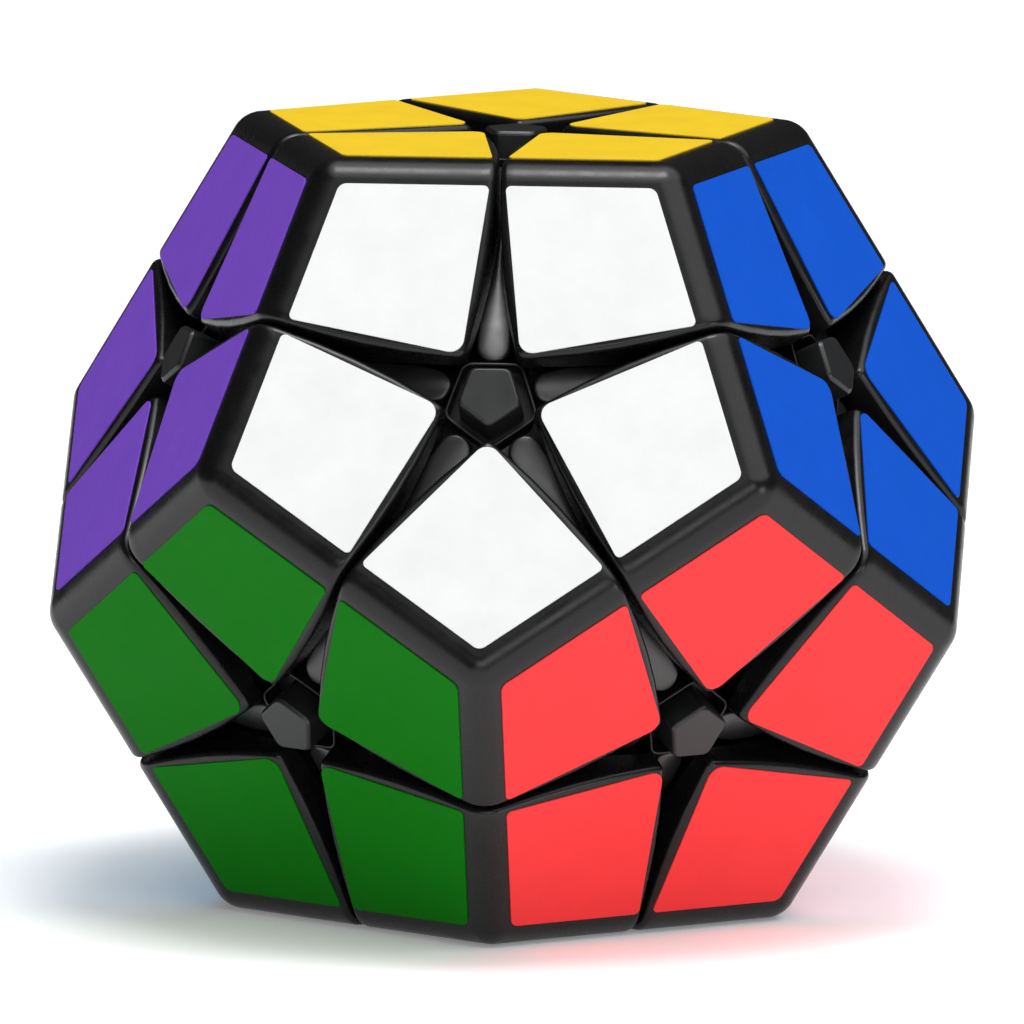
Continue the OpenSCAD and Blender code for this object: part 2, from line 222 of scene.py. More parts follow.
class PuzzlePetal(bpy.types.PropertyGroup):
    """Sizes of the petals of the hidden edge pieces."""
    width: length("Width", 3.2, "Width of a petal's tongue beside the hub")
    crown: length("Crown", 0.08, "Height of a petal's middle above its sides")
    rim_radius: length("Rim radius", 0.3, "Radius around a petal's top")
    rows_along: count("Rows along", 30, "Rows of faces along a petal")
    rows_across: count("Rows across", 6, "Rows of faces across a petal")
    straight: share("Straight share", 0.8, "Share of the rows in front of a petal's round end")


class PuzzleHub(bpy.types.PropertyGroup):
    """Sizes of the hubs and of the caps that close them."""
    rim_width: length("Rim width", 0.3, "Width of the rim round a hub")
    corner_radius: length("Corner radius", 1.15, "Radius of a hub's five corners")
    groove_depth: length("Groove depth", 2.2, "Depth of the groove between the rim and the cap")
    edge_radius: length("Edge radius", 0.12, "Radius along the edges of a hub's rim")
    cup_radius: length("Cup radius", 2.4, "Radius of the cup that holds the spring")
    bore_radius: length("Bore radius", 1, "Radius of the hole for the screw")
    stem_radius: length("Stem radius", 3, "Radius of the stem that sits on the core")
    disc_radius: length("Disc radius", 14.9, "Greatest radius of a hub's disc")
    cap_base: length("Cap base", 2.6, "Distance from a cap's middle to its flats, at its base")
    cap_shoulder: length("Cap shoulder", 2.56, "Distance from a cap's middle to its flats, below the slope")
    cap_flat: length("Cap top", 2.34, "Distance from a cap's middle to its flats, at its top")
    cap_slope: length("Cap slope", 0.3, "Height of the slope around a cap's top")
    cap_corner: length("Cap corner", 0.5, "Radius of a cap's five upright edges")
    cap_edge: length("Cap edge", 0.1, "Radius of a cap's other edges")


class PuzzleSticker(bpy.types.PropertyGroup):
    """Sizes of the kite-shaped stickers."""
    border: length("Border", 2.31, "Bare plastic between a sticker and the sharp edge of the solid")
    seam: length("Seam", 0.72, "Half of the gap between two stickers where they come closest")
    tip_inset: length("Tip inset", 0.24, "Bare plastic at the tip of a corner beside the hub")
    outer_radius: length("Outer radius", 0.9, "Radius of a sticker's outer corner")
    tip_radius: length("Tip radius", 1.3, "Radius of a sticker's tip beside the hub")
    seam_radius: length("Seam radius", 0.5, "Radius of a sticker's two corners beside the seams")
    edge_radius: length("Edge radius", 0.045, "Radius along the sticker's upper rim")


class PuzzleColours(bpy.types.PropertyGroup):
    """Colours of the plastic, the metal and the stickers."""
    shell: colour("Shell plastic", (13, 13, 14), "Black satin plastic of the corners and hubs")
    petal: colour("Petal plastic", (24, 24, 25), "Black plastic of the edge pieces")
    cap: colour("Cap plastic", (24, 25, 26), "Charcoal plastic of the caps")
    core: colour("Core plastic", (34, 35, 38), "Plastic of the core and the feet")
    steel: colour("Steel", (186, 189, 193), "Plated steel of the screws, springs and washers")
    yellow: colour("Yellow", (224, 188, 40), "Stickers of the top face")
    white: colour("White", (217, 219, 218), "Stickers of the face at the front")
    blue: colour("Blue", (14, 77, 185), "Stickers of the face at the right")
    lime: colour("Lime", (140, 198, 63), "Stickers of the face at the right of the back")
    orange: colour("Orange", (240, 134, 36), "Stickers of the face at the left of the back")
    purple: colour("Purple", (117, 72, 194), "Stickers of the face at the left")
    red: colour("Red", (239, 62, 64), "Stickers of the lower face at the right of the front")
    pink: colour("Pink", (244, 160, 190), "Stickers of the lower face at the right")
    gray: colour("Gray", (140, 145, 150), "Stickers of the lower face at the back")
    lightblue: colour("Light blue", (120, 192, 234), "Stickers of the lower face at the left of the back")
    green: colour("Green", (1, 112, 2), "Stickers of the lower face at the left of the front")
    cream: colour("Cream", (242, 232, 204), "Stickers of the face that the puzzle rests on")


class PuzzleStage(bpy.types.PropertyGroup):
    """Camera, lights and floor."""
    azimuth: angle("Azimuth", 4.0265, "Direction of the camera round the puzzle, from the front")
    elevation: angle("Elevation", 8.8638, "Height of the camera above the horizon")
    roll: angle("Roll", 0.3769, "Turn of the camera about its own axis")
    distance: length("Distance", 3288.24, "Distance from the camera to the puzzle")
    aim_right: length("Aim right", -0.122, "Offset of the camera's aim to the right of the core")
    aim_up: length("Aim up", 0.151, "Offset of the camera's aim above the core")
    lens: bpy.props.FloatProperty(name="Lens", description="Focal length of the camera in millimetres",
                                  default=1253.39, min=1)
    floor_size: length("Floor size", 12000, "Length of each side of the floor")


GROUPS = {"cuts": PuzzleCuts, "corner": PuzzleCorner, "petal": PuzzlePetal, "hub": PuzzleHub,
          "sticker": PuzzleSticker, "colours": PuzzleColours, "stage": PuzzleStage}


def in_mm(group, name):
    """A length of a property group in millimetres."""
    return getattr(group, name) / MM


class Levels:
    """Radii of the levels in millimetres, from the petals down to the feet."""

    def __init__(self, cuts):
        gap = in_mm(cuts, "level_gap")
        self.petal_out = HUB_TOP - in_mm(cuts, "petal_drop")
        self.petal_in = self.petal_out - in_mm(cuts, "petal_thickness")
        self.disc_out = self.petal_in - gap
        self.disc_in = self.disc_out - in_mm(cuts, "disc_thickness")
        self.foot_out = self.disc_in - gap
        self.foot_in = self.foot_out - in_mm(cuts, "foot_thickness")


# ---------------------------------------------------------------- modelling helpers

# Widest angle between the middle of a piece and its outline
WIDEST = math.radians(45)
HALVINGS = 40


def largest(holds, low, high):
    """The largest value between low and high at which holds is still true."""
    for _ in range(HALVINGS):
        half = (low + high) / 2
        low, high = (half, high) if holds(half) else (low, half)
    return low


def on_outline(direction, middle, inside=(), outside=()):
    """Slides a direction away from or towards the middle of a piece until it meets the cones that bound it.

    inside and outside are pairs of a cone's axis and its half-angle."""
    side = (direction - middle * direction.dot(middle)).normalized()

    def leaning(lean):
        return middle * math.cos(lean) + side * math.sin(lean)

    def holds(lean):
        point = leaning(lean)
        return (all(point.dot(axis) >= math.cos(cut) for axis, cut in inside)
                and all(point.dot(axis) <= math.cos(cut) for axis, cut in outside))
    return leaning(largest(holds, 0, WIDEST))


def next_ring(bm, edges, place):
    """Extrudes a loop of edges, puts each new vertex in place and returns the new loop."""
    grown = bmesh.ops.extrude_edge_only(bm, edges=edges)["geom"]
    verts = {item for item in grown if isinstance(item, bmesh.types.BMVert)}
    for vert in verts:
        vert.co = place(vert.co)
    return [item for item in grown if isinstance(item, bmesh.types.BMEdge) and verts.issuperset(item.verts)]


def close_loop(bm, edges):
    """Fills a loop of edges with one face."""
    bmesh.ops.contextual_create(bm, geom=edges)


def round_edges(bm, edges, radius, segments):
    """Rounds edges with a bevel that keeps within its neighbours."""
    bmesh.ops.bevel(bm, geom=edges, offset=radius, offset_type="OFFSET", segments=segments, profile=0.5,
                    affect="EDGES", material=-1, clamp_overlap=True)


def round_corner(bm, vert, radius, half_angle, segments):
    """Rounds one corner of a flat outline to a radius."""
    bmesh.ops.bevel(bm, geom=[vert], offset=radius / math.tan(half_angle), offset_type="OFFSET",
                    segments=segments, profile=0.5, affect="VERTICES", material=-1)


# Creases wider than this stay sharp
SHARP = math.radians(38)


def to_mesh(bm, name):
    """Closes a bmesh into a mesh with outward normals, smooth faces and sharp creases."""
    bmesh.ops.recalc_face_normals(bm, faces=bm.faces)
    for face in bm.faces:
        face.smooth = True
        face.material_index = 0
    for edge in bm.edges:
        edge.smooth = edge.calc_face_angle(0) < SHARP
    mesh = bpy.data.meshes.new(name)
    bm.to_mesh(mesh)
    bm.free()
    return mesh


def make_piece(name, mesh, turns, node, material):
    """Joins turned copies of a mesh into the piece that stands for a CAD node."""
    bm = bmesh.new()
    for turn in turns:
        copy = mesh.copy()
        copy.transform(Matrix.Scale(MM, 4) @ turn)
        bm.from_mesh(copy)
        bpy.data.meshes.remove(copy)
    joined = bpy.data.meshes.new(name)
    bm.to_mesh(joined)
    bm.free()
    piece = bpy.data.objects.new(name, joined)
    bpy.context.scene.collection.objects.link(piece)
    joined.materials.append(material)
    shading = piece.modifiers.new("Weighted normals", "WEIGHTED_NORMAL")
    shading.keep_sharp = True
    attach(piece, BODIES[layer_of_node(node)])
    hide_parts(node)
    return piece


def layer_of_node(node):
    """The layer whose name a CAD node's name starts with."""
    return node.split("_")[0]


# ---------------------------------------------------------------- materials

def start_material(name):
    """A new material, its node tree, its shader and the object coordinates for its noise."""
    material = bpy.data.materials.new(name)
    material.use_nodes = True
    tree = material.node_tree
    shader = tree.nodes["Principled BSDF"]
    place = tree.nodes.new("ShaderNodeTexCoord").outputs["Object"]
    return material, tree, shader, place


def noise(tree, place, size, detail, roughness=0.5):
    """Noise whose features are about one size wide, in metres."""
    node = tree.nodes.new("ShaderNodeTexNoise")
    node.inputs["Scale"].default_value = 1 / size
    node.inputs["Detail"].default_value = detail
    node.inputs["Roughness"].default_value = roughness
    tree.links.new(place, node.inputs["Vector"])
    return node.outputs["Fac"]


def ramp(tree, value, start, end, low, high):
    """A value that runs from low to high while another runs from start to end."""
    node = tree.nodes.new("ShaderNodeMapRange")
    limits = {"From Min": start, "From Max": end, "To Min": low, "To Max": high}
    for name, limit in limits.items():
        node.inputs[name].default_value = limit
    tree.links.new(value, node.inputs["Value"])
    return node.outputs["Result"]


# Most noise lies between these values
NOISE_LOW, NOISE_HIGH = 0.3, 0.7


def stretched(tree, value, low, high):
    """Noise spread between two values."""
    return ramp(tree, value, NOISE_LOW, NOISE_HIGH, low, high)


def bump(tree, height, strength, distance, below=None):
    """Bump on top of another bump or the smooth surface."""
    node = tree.nodes.new("ShaderNodeBump")
    node.inputs["Strength"].default_value = strength
    node.inputs["Distance"].default_value = distance
    tree.links.new(height, node.inputs["Height"])
    if below:
        tree.links.new(below, node.inputs["Normal"])
    return node.outputs["Normal"]


def two_shades(tree, value, one, two):
    """A colour that changes between two shades with a value."""
    node = tree.nodes.new("ShaderNodeMix")
    node.data_type = "RGBA"
    node.inputs["A"].default_value = (*one, 1)
    node.inputs["B"].default_value = (*two, 1)
    tree.links.new(value, node.inputs["Factor"])
    return node.outputs["Result"]


def shade(tint, factor):
    """A colour made lighter or darker."""
    return [min(1, channel * factor) for channel in tint]


def moulded_plastic(name, tint, gloss, grain, shine):
    """Satin plastic: slow flow marks, a change in gloss and the fine texture of the mould."""
    material, tree, shader, place = start_material(name)
    flow = noise(tree, place, 9 * MM, 3)
    handling = noise(tree, place, 2.2 * MM, 4, 0.6)
    mould = noise(tree, place, 0.16 * MM, 2)
    tree.links.new(two_shades(tree, stretched(tree, flow, 0, 1), shade(tint, 0.8), shade(tint, 1.25)),
                   shader.inputs["Base Color"])
    tree.links.new(stretched(tree, handling, gloss - 0.05, gloss + 0.06), shader.inputs["Roughness"])
    waves = bump(tree, flow, 0.12, 0.04 * MM)
    tree.links.new(bump(tree, mould, grain, 0.012 * MM, waves), shader.inputs["Normal"])
    shader.inputs["Specular IOR Level"].default_value = shine
    return material


def vinyl(name, tint):
    """Sticker vinyl: even print with a faint mottle, and a skin that is slightly uneven."""
    material, tree, shader, place = start_material(name)
    mottle = noise(tree, place, 5 * MM, 5, 0.65)
    skin = noise(tree, place, 0.35 * MM, 3)
    pull = noise(tree, place, 3.5 * MM, 2)
    tree.links.new(two_shades(tree, stretched(tree, mottle, 0, 1), shade(tint, 0.955), shade(tint, 1.02)),
                   shader.inputs["Base Color"])
    tree.links.new(stretched(tree, pull, 0.38, 0.5), shader.inputs["Roughness"])
    swell = bump(tree, pull, 0.1, 0.05 * MM)
    tree.links.new(bump(tree, skin, 0.12, 0.012 * MM, swell), shader.inputs["Normal"])
    shader.inputs["Specular IOR Level"].default_value = 0.06
    return material


def plated_steel(name, tint):
    """Plated steel with drawing marks and dull spots."""
    material, tree, shader, place = start_material(name)
    marks = noise(tree, place, 0.12 * MM, 3)
    spots = noise(tree, place, 1.1 * MM, 4, 0.6)
    tree.links.new(two_shades(tree, stretched(tree, spots, 0, 1), shade(tint, 0.8), tint),
                   shader.inputs["Base Color"])
    tree.links.new(stretched(tree, spots, 0.22, 0.4), shader.inputs["Roughness"])
    tree.links.new(bump(tree, marks, 0.2, 0.01 * MM), shader.inputs["Normal"])
    shader.inputs["Metallic"].default_value = 1
    return material


# ---------------------------------------------------------------- meshes

def along_edge(one, two, third):
    """Unit vector along the edge between two faces, away from a third one."""
    edge = one.cross(two).normalized()
    return -edge if edge.dot(third) > 0 else edge


def corner_mesh(sizes, cuts):
    """A corner: three facets that meet in rounded edges, over a head, a neck and the neck's floor."""
    levels = Levels(cuts)
    radius = in_mm(sizes, "edge_radius")
    rows = sizes.flat_rows + sizes.round_rows
    normals = [FACES[face] for face in right_handed(CORNERS[0])]
    middle = sum(normals, Vector()).normalized()
    inner_point = middle * ((FACE_R - radius) / middle.dot(normals[0]))
    head_cut = OUTER_CUT - cuts.cut_gap

    def across(row):
        """Place of a row across the flat, from 0 at the gap to 1 at the rounded edge."""
        if row == 0:
            return 0
        return min(1, sizes.rim_share + (1 - sizes.rim_share) * (row - 1) / (sizes.flat_rows - 1))

    def lean(row):
        """Share of the second face's normal at a row of the rounded edge."""
        turn = EDGE_TILT * max(0, row - sizes.flat_rows) / sizes.round_rows
        return math.sin(turn) / math.sin(FACE_STEP - turn)

    def outwards(row):
        return (normals[0] + normals[1] * lean(row)).normalized() * radius

    # Lengths of the rows from the rounded edge to the gap, which is cut by the third face's cone
    near = along_edge(normals[0], normals[1], normals[2])
    far = along_edge(normals[0], normals[2], normals[1])

    def kept(point):
        return point.normalized().dot(normals[2]) >= math.cos(head_cut)

    tip = largest(lambda size: kept(inner_point + (near + far) * size + outwards(0)), 0, FACE_R)
    reach = [tip] + [
        largest(lambda size: kept(inner_point + near * size + far * (1 - across(row)) * tip + outwards(row)),
                0, FACE_R) for row in range(1, rows + 1)]

    def facet_point(place):
        """Point of a facet from its row numbers away from the three faces."""
        steps = [round(value * rows) for value in place]
        first = steps.index(rows)
        second, third = (k for k in range(3) if k != first)
        one, two, three = normals[first], normals[second], normals[third]
        point = inner_point + along_edge(one, two, three) * (1 - across(steps[third])) * reach[steps[second]]
        point += along_edge(one, three, two) * (1 - across(steps[second])) * reach[steps[third]]
        normal = one + two * lean(steps[second]) + three * lean(steps[third])
        return point + normal.normalized() * radius

    # Three sides of a cube become the three facets
    bm = bmesh.new()
    bmesh.ops.create_cube(bm, size=1, matrix=Matrix.Translation((0.5, 0.5, 0.5)))
    near_origin = [face for face in bm.faces if sum(face.calc_center_median()) < 1.5]
    bmesh.ops.delete(bm, geom=near_origin, context="FACES")
    bmesh.ops.subdivide_edges(bm, edges=bm.edges, cuts=rows - 1, use_grid_fill=True)
    for vert in bm.verts:
        vert.co = facet_point(vert.co)

    # The head's side, its floor, the neck and the neck's floor
    facets = set(bm.faces)
    loop = [edge for edge in bm.edges if edge.is_boundary]
    petal_cut = cuts.petal_cut - cuts.cut_gap
    disc_cut = cuts.disc_cut - cuts.cut_gap
    head_floor = in_mm(sizes, "head_floor")
    neck_end = levels.foot_out + SEAT_GAP
    for distance, cut in ((head_floor, head_cut), (head_floor, petal_cut), (levels.petal_in, petal_cut),
                          (levels.petal_in, disc_cut), (neck_end, disc_cut)):
        bounds = [(normal, cut) for normal in normals]
        loop = next_ring(bm, loop, lambda point: on_outline(point, middle, bounds) * distance)
    close_loop(bm, loop)
    for face in bm.faces:
        face.material_index = 0 if face in facets else 1

    def at_tip(vert):
        angles = sorted(vert.co.angle(normal) for normal in normals)
        return angles[2] - angles[1] < SAME_ANGLE and angles[1] - angles[0] > OTHER_ANGLE

    round_edges(bm, [edge for edge in bm.edges if at_tip(edge.verts[0]) and at_tip(edge.verts[1])],
                in_mm(sizes, "tip_radius"), 5)
    rim = [edge for edge in bm.edges if len({face.material_index for face in edge.link_faces}) == 2]
    round_edges(bm, rim, in_mm(sizes, "rim_radius"), 4)
    return to_mesh(bm, "corner")


def edge_mesh(sizes, cuts):
    """A hidden edge piece: a petal with a crowned top and round ends, a body and a foot."""
    levels = Levels(cuts)
    one, two = EDGES[0]
    ends = [FACES[face] for face in neighbours(one, two)]
    middle = (FACES[one] + FACES[two]).normalized()
    lengthwise = (FACES[one] - FACES[two]).normalized()
    crosswise = (ends[0] - ends[1]).normalized()
    rim = in_mm(sizes, "rim_radius")
    end_turn = in_mm(sizes, "width") / 2 / levels.petal_out
    half_length = cuts.petal_cut - cuts.cut_gap - EDGE_TILT

    def tongue(turn):
        """Half-width in front of the cone of the face beside the petal."""
        up = math.cos(OUTER_CUT) * math.cos(turn)
        size = math.hypot(up, math.sin(OUTER_CUT))
        return math.atan2(math.sin(OUTER_CUT), up) - math.acos(math.cos(cuts.tongue_cut) / size)

    def petal_point(x, y, inset, distance):
        """Point of the petal, where x and y run from -1 to 1 along and across it."""
        inset /= levels.petal_out
        end = max(0, (abs(x) - sizes.straight) / (1 - sizes.straight))
        turn = (half_length - end_turn) * min(1, abs(x) / sizes.straight)
        turn += (end_turn - inset) * end * math.sqrt(1 - y * y / 2)
        width = (min(end_turn, tongue(turn)) - inset) * y * math.sqrt(1 - end * end / 2)
        turned = middle * math.cos(turn) + lengthwise * math.copysign(math.sin(turn), x)
        return (turned * math.cos(width) + crosswise * math.sin(width)) * distance

    # A grid is the petal's top, and its rings are the round rim and the side
    bm = bmesh.new()
    bmesh.ops.create_grid(bm, x_segments=sizes.rows_along, y_segments=sizes.rows_across, size=1)
    loop = [edge for edge in bm.edges if edge.is_boundary]
    rim_rings = 4
    for _ in range(rim_rings + 1):
        loop = next_ring(bm, loop, lambda point: point + Vector((0, 0, 1)))
    crown = in_mm(sizes, "crown")
    for vert in bm.verts:
        x, y, ring = vert.co
        turn = math.pi / 2 * min(ring, rim_rings) / rim_rings
        inset = rim * (1 - math.sin(turn))
        distance = levels.petal_out - crown * y * y - rim * (1 - math.cos(turn))
        if ring > rim_rings:
            distance = levels.petal_in
        vert.co = petal_point(x, y, inset, distance)

    # The body under the corners, the part beside the hub discs and the foot below them
    narrow, wide = cuts.disc_cut - cuts.cut_gap, cuts.foot_cut - cuts.cut_gap
    beside_petal, beside_disc = cuts.petal_cut + cuts.cut_gap, cuts.disc_cut + cuts.cut_gap
    beside_foot = cuts.foot_cut + cuts.cut_gap
    for distance, inner, outer in (
            (levels.petal_in, narrow, beside_petal), (levels.disc_out, narrow, beside_petal),
            (levels.disc_out, narrow, beside_disc), (levels.disc_in, narrow, beside_disc),
            (levels.disc_in, narrow, beside_foot), (levels.foot_out, narrow, beside_foot),
            (levels.foot_out, wide, beside_foot), (levels.foot_in, wide, beside_foot)):
        inside = [(FACES[face], inner) for face in (one, two)]
        outside = [(axis, outer) for axis in ends]
        loop = next_ring(bm, loop, lambda point: on_outline(point, middle, inside, outside) * distance)
    close_loop(bm, loop)
    return to_mesh(bm, "edge_piece")


def pentagon_reach(turn, apothem, radius):
    """Distance from the middle of a rounded pentagon to its outline, turn being 0 at a flat's middle."""
    turn = abs((turn + FIFTH / 2) % FIFTH - FIFTH / 2)
    centre = (apothem - radius) / math.cos(FIFTH / 2)
    if apothem * math.tan(turn) <= (apothem - radius) * math.tan(FIFTH / 2):
        return apothem / math.cos(turn)
    off = FIFTH / 2 - turn
    return centre * math.cos(off) + math.sqrt(radius ** 2 - (centre * math.sin(off)) ** 2)


# Plastic under a hub's cup in millimetres, and points around a hub
CUP_FLOOR_THICKNESS = 0.6
HUB_SEGMENTS = 100


def hub_mesh(sizes, cuts):
    """A hub: a rounded five-sided tower with a rim, a cup for the spring, a disc and a stem."""
    levels = Levels(cuts)
    flat_slope = math.tan(FACE_STEP - cuts.petal_cut - cuts.cut_gap)
    rim_apothem = HUB_TOP * flat_slope
    radius = in_mm(sizes, "corner_radius")
    groove = HUB_TOP - in_mm(sizes, "groove_depth")
    around = [FACES[face] for face in neighbours(TOP)]

    def pentagon(apothem, corner, height):
        def place(point):
            turn = math.atan2(point.y, point.x)
            reach = pentagon_reach(turn + math.pi / 2, apothem, corner)
            return Vector((reach * math.cos(turn), reach * math.sin(turn), height))
        return place

    def circle(reach, height):
        return lambda point: point.xy.normalized().to_3d() * reach + Vector((0, 0, height))

    def disc(distance):
        widest = math.asin(in_mm(sizes, "disc_radius") / levels.disc_out)
        outside = [(axis, cuts.disc_cut + cuts.cut_gap) for axis in around]

        def place(point):
            flat = point.xy.normalized().to_3d()
            return on_outline(flat, FACES[TOP], [(FACES[TOP], widest)], outside) * distance
        return place

    inner = rim_apothem - in_mm(sizes, "rim_width")
    inner_corner = radius - in_mm(sizes, "rim_width")
    cup, bore, stem = (in_mm(sizes, name) for name in ("cup_radius", "bore_radius", "stem_radius"))
    cup_floor = levels.disc_in + CUP_FLOOR_THICKNESS
    rings = [circle(cup, groove), pentagon(inner, inner_corner, groove),
             pentagon(inner, inner_corner, HUB_TOP),
             pentagon(rim_apothem, radius, HUB_TOP),
             pentagon(levels.disc_out * flat_slope, radius, levels.disc_out), disc(levels.disc_out),
             disc(levels.disc_in), circle(stem, levels.disc_in), circle(stem, STEM_BOTTOM),
             circle(bore, STEM_BOTTOM), circle(bore, cup_floor), circle(cup, cup_floor)]
    bm = bmesh.new()
    bmesh.ops.create_circle(bm, segments=HUB_SEGMENTS, radius=cup)
    first = loop = list(bm.edges)
    for vert in bm.verts:
        vert.co = rings[0](vert.co)
    for place in rings[1:]:
        loop = next_ring(bm, loop, place)
    bmesh.ops.bridge_loops(bm, edges=loop + first)
    rim = [edge for edge in bm.edges
           if min(vert.co.z for vert in edge.verts) > HUB_TOP - TOP_BAND
           and edge.calc_face_angle(0) > SHARP]
    round_edges(bm, rim, in_mm(sizes, "edge_radius"), 3)
    return to_mesh(bm, "hub")


def cap_mesh(sizes):
    """A five-sided cap with a slope around its flat top."""
    groove = HUB_TOP - in_mm(sizes, "groove_depth")
    shoulder = CAP_TOP - in_mm(sizes, "cap_slope")
    to_corner = 1 / math.cos(FIFTH / 2)
    base = in_mm(sizes, "cap_base") * to_corner
    bm = bmesh.new()
    # A corner of the pentagon points away from the middle of a neighbour
    turned = Matrix.Rotation(math.pi / 2, 4, "Z") @ Matrix.Translation((0, 0, groove - SINK))
    bmesh.ops.create_circle(bm, cap_ends=True, segments=5, radius=base, matrix=turned)
    for vert in bm.verts:
        flat = vert.co.xy.normalized()
        turn = math.atan2(flat.y, flat.x)
        snapped = math.pi / 2 + FIFTH * round((turn - math.pi / 2) / FIFTH)
        vert.co = Vector((base * math.cos(snapped), base * math.sin(snapped), vert.co.z))
    loop = list(bm.edges)
    for name, height in (("cap_shoulder", shoulder), ("cap_flat", CAP_TOP)):
        reach = in_mm(sizes, name) * to_corner
        rise = Vector((0, 0, height))
        loop = next_ring(bm, loop, lambda point: point.xy.normalized().to_3d() * reach + rise)
    close_loop(bm, loop)
    upright = [edge for edge in bm.edges if abs(edge.verts[0].co.z - edge.verts[1].co.z) > 0.1]
    round_edges(bm, upright, in_mm(sizes, "cap_corner"), 4)
    shoulders = [edge for edge in bm.edges if edge.calc_face_angle(0) > math.radians(20)
                 and abs(edge.verts[0].co.z - edge.verts[1].co.z) < 0.01]
    round_edges(bm, shoulders, in_mm(sizes, "cap_edge"), 3)
    return to_mesh(bm, "cap")


def sticker_mesh(sizes, cuts):
    """A kite of vinyl with rounded corners, its tip towards the hub and its outer end towards the corner."""
    half_fifth = FIFTH / 2
    line = FACE_APOTHEM - in_mm(sizes, "border")
    tip = FACE_R * math.tan(FACE_STEP - OUTER_CUT + cuts.cut_gap) + in_mm(sizes, "tip_inset")
    along_seam = Vector((math.sin(half_fifth), -math.cos(half_fifth), 0)) * in_mm(sizes, "seam")
    left = Vector((math.cos(half_fifth), math.sin(half_fifth), 0)) * line + along_seam
    right = Vector((left.x, -left.y, 0))
    outline = [Vector((tip, 0, 0)) / math.cos(half_fifth), right,
               Vector((line, 0, 0)) / math.cos(half_fifth), left]
    radii = [in_mm(sizes, name) for name in ("tip_radius", "seam_radius", "outer_radius", "seam_radius")]
    bm = bmesh.new()
    verts = [bm.verts.new(point + Vector((0, 0, FACE_R - SINK))) for point in outline]
    close_loop(bm, verts)
    for index, vert in enumerate(verts):
        before, after = outline[index - 1] - outline[index], outline[(index + 1) % 4] - outline[index]
        round_corner(bm, vert, radii[index], before.angle(after) / 2, 8)
    grown = bmesh.ops.extrude_face_region(bm, geom=list(bm.faces), use_keep_orig=True)["geom"]
    top = [item for item in grown if isinstance(item, bmesh.types.BMVert)]
    bmesh.ops.translate(bm, verts=top, vec=(0, 0, STICKER_TOP - FACE_R + SINK))
    rim = [edge for edge in bm.edges
           if min(vert.co.z for vert in edge.verts) > STICKER_TOP - SINK]
    round_edges(bm, rim, in_mm(sizes, "edge_radius"), 2)
    return to_mesh(bm, "sticker")


# ---------------------------------------------------------------- operators

class PuzzleOperator:
    """What every operator here shares."""
    bl_options = {"REGISTER", "UNDO"}


class PUZZLE_OT_corners(PuzzleOperator, bpy.types.Operator):
    """Build the twenty corners of black satin plastic"""
    bl_idname = "puzzle.corners"
    bl_label = "Corners"

    def execute(self, context):
        scene = context.scene
        mesh = corner_mesh(scene.puzzle_corner, scene.puzzle_cuts)
        plastic = moulded_plastic("corner plastic", scene.puzzle_colours.shell, 0.28, 0.12, 0.33)
        home = right_handed(CORNERS[0])
        for layer in BODIES:
            owned = [corner for corner in CORNERS if layer_of(corner) == layer]
            turns = [turn_between(home, right_handed(corner)) for corner in owned]
            if f"{layer}_corners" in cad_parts:
                make_piece(f"{layer}_corner_shells", mesh, turns, f"{layer}_corners",
                           plastic)
                continue
            for number, turn in enumerate(turns, 1):
                node = f"{layer}_corner_{number}"
                make_piece(f"{node}_shell", mesh, [turn], node, plastic)
        return {"FINISHED"}


class PUZZLE_OT_edges(PuzzleOperator, bpy.types.Operator):
    """Build the thirty hidden edge pieces, whose petals show in the star-shaped gaps"""
    bl_idname = "puzzle.edges"
    bl_label = "Edge pieces"

    def execute(self, context):
        scene = context.scene
        mesh = edge_mesh(scene.puzzle_petal, scene.puzzle_cuts)
        plastic = moulded_plastic("petal plastic", scene.puzzle_colours.petal, 0.36, 0.12, 0.9)
        for layer in BODIES:
            turns = [turn_between(EDGES[0], edge) for edge in EDGES if layer_of(edge) == layer]
            make_piece(f"{layer}_edge_pieces", mesh, turns, f"{layer}_edges", plastic)
        return {"FINISHED"}


class HubOperator(PuzzleOperator):
    """What the operators for hubs and caps share."""

    def build(self, mesh, kind, slot, plastic):
        for layer in BODIES:
            turns = [turn_between((TOP, UPPER_RING), (face, neighbours(face)[0]))
                     for face in range(len(FACES)) if layer_of([face]) == layer]
            node = f"{layer}_{kind}" if len(turns) == 1 else f"{layer}_{kind}s"
            make_piece(f"{node}_moulding", mesh, turns, node, plastic)
        return {"FINISHED"}


class PUZZLE_OT_hubs(HubOperator, bpy.types.Operator):
    """Build the twelve hubs with their rims, cups and discs"""
    bl_idname = "puzzle.hubs"
    bl_label = "Hubs"

    def execute(self, context):
        scene = context.scene
        plastic = moulded_plastic("hub plastic", scene.puzzle_colours.shell, 0.36, 0.1, 0.4)
        return self.build(hub_mesh(scene.puzzle_hub, scene.puzzle_cuts), "hub", "hub_plastic", plastic)


class PUZZLE_OT_caps(HubOperator, bpy.types.Operator):
    """Build the twelve five-sided caps"""
    bl_idname = "puzzle.caps"
    bl_label = "Caps"

    def execute(self, context):
        scene = context.scene
        plastic = moulded_plastic("cap plastic", scene.puzzle_colours.cap, 0.34, 0.16, 0.5)
        return self.build(cap_mesh(scene.puzzle_hub), "cap", "cap_plastic", plastic)


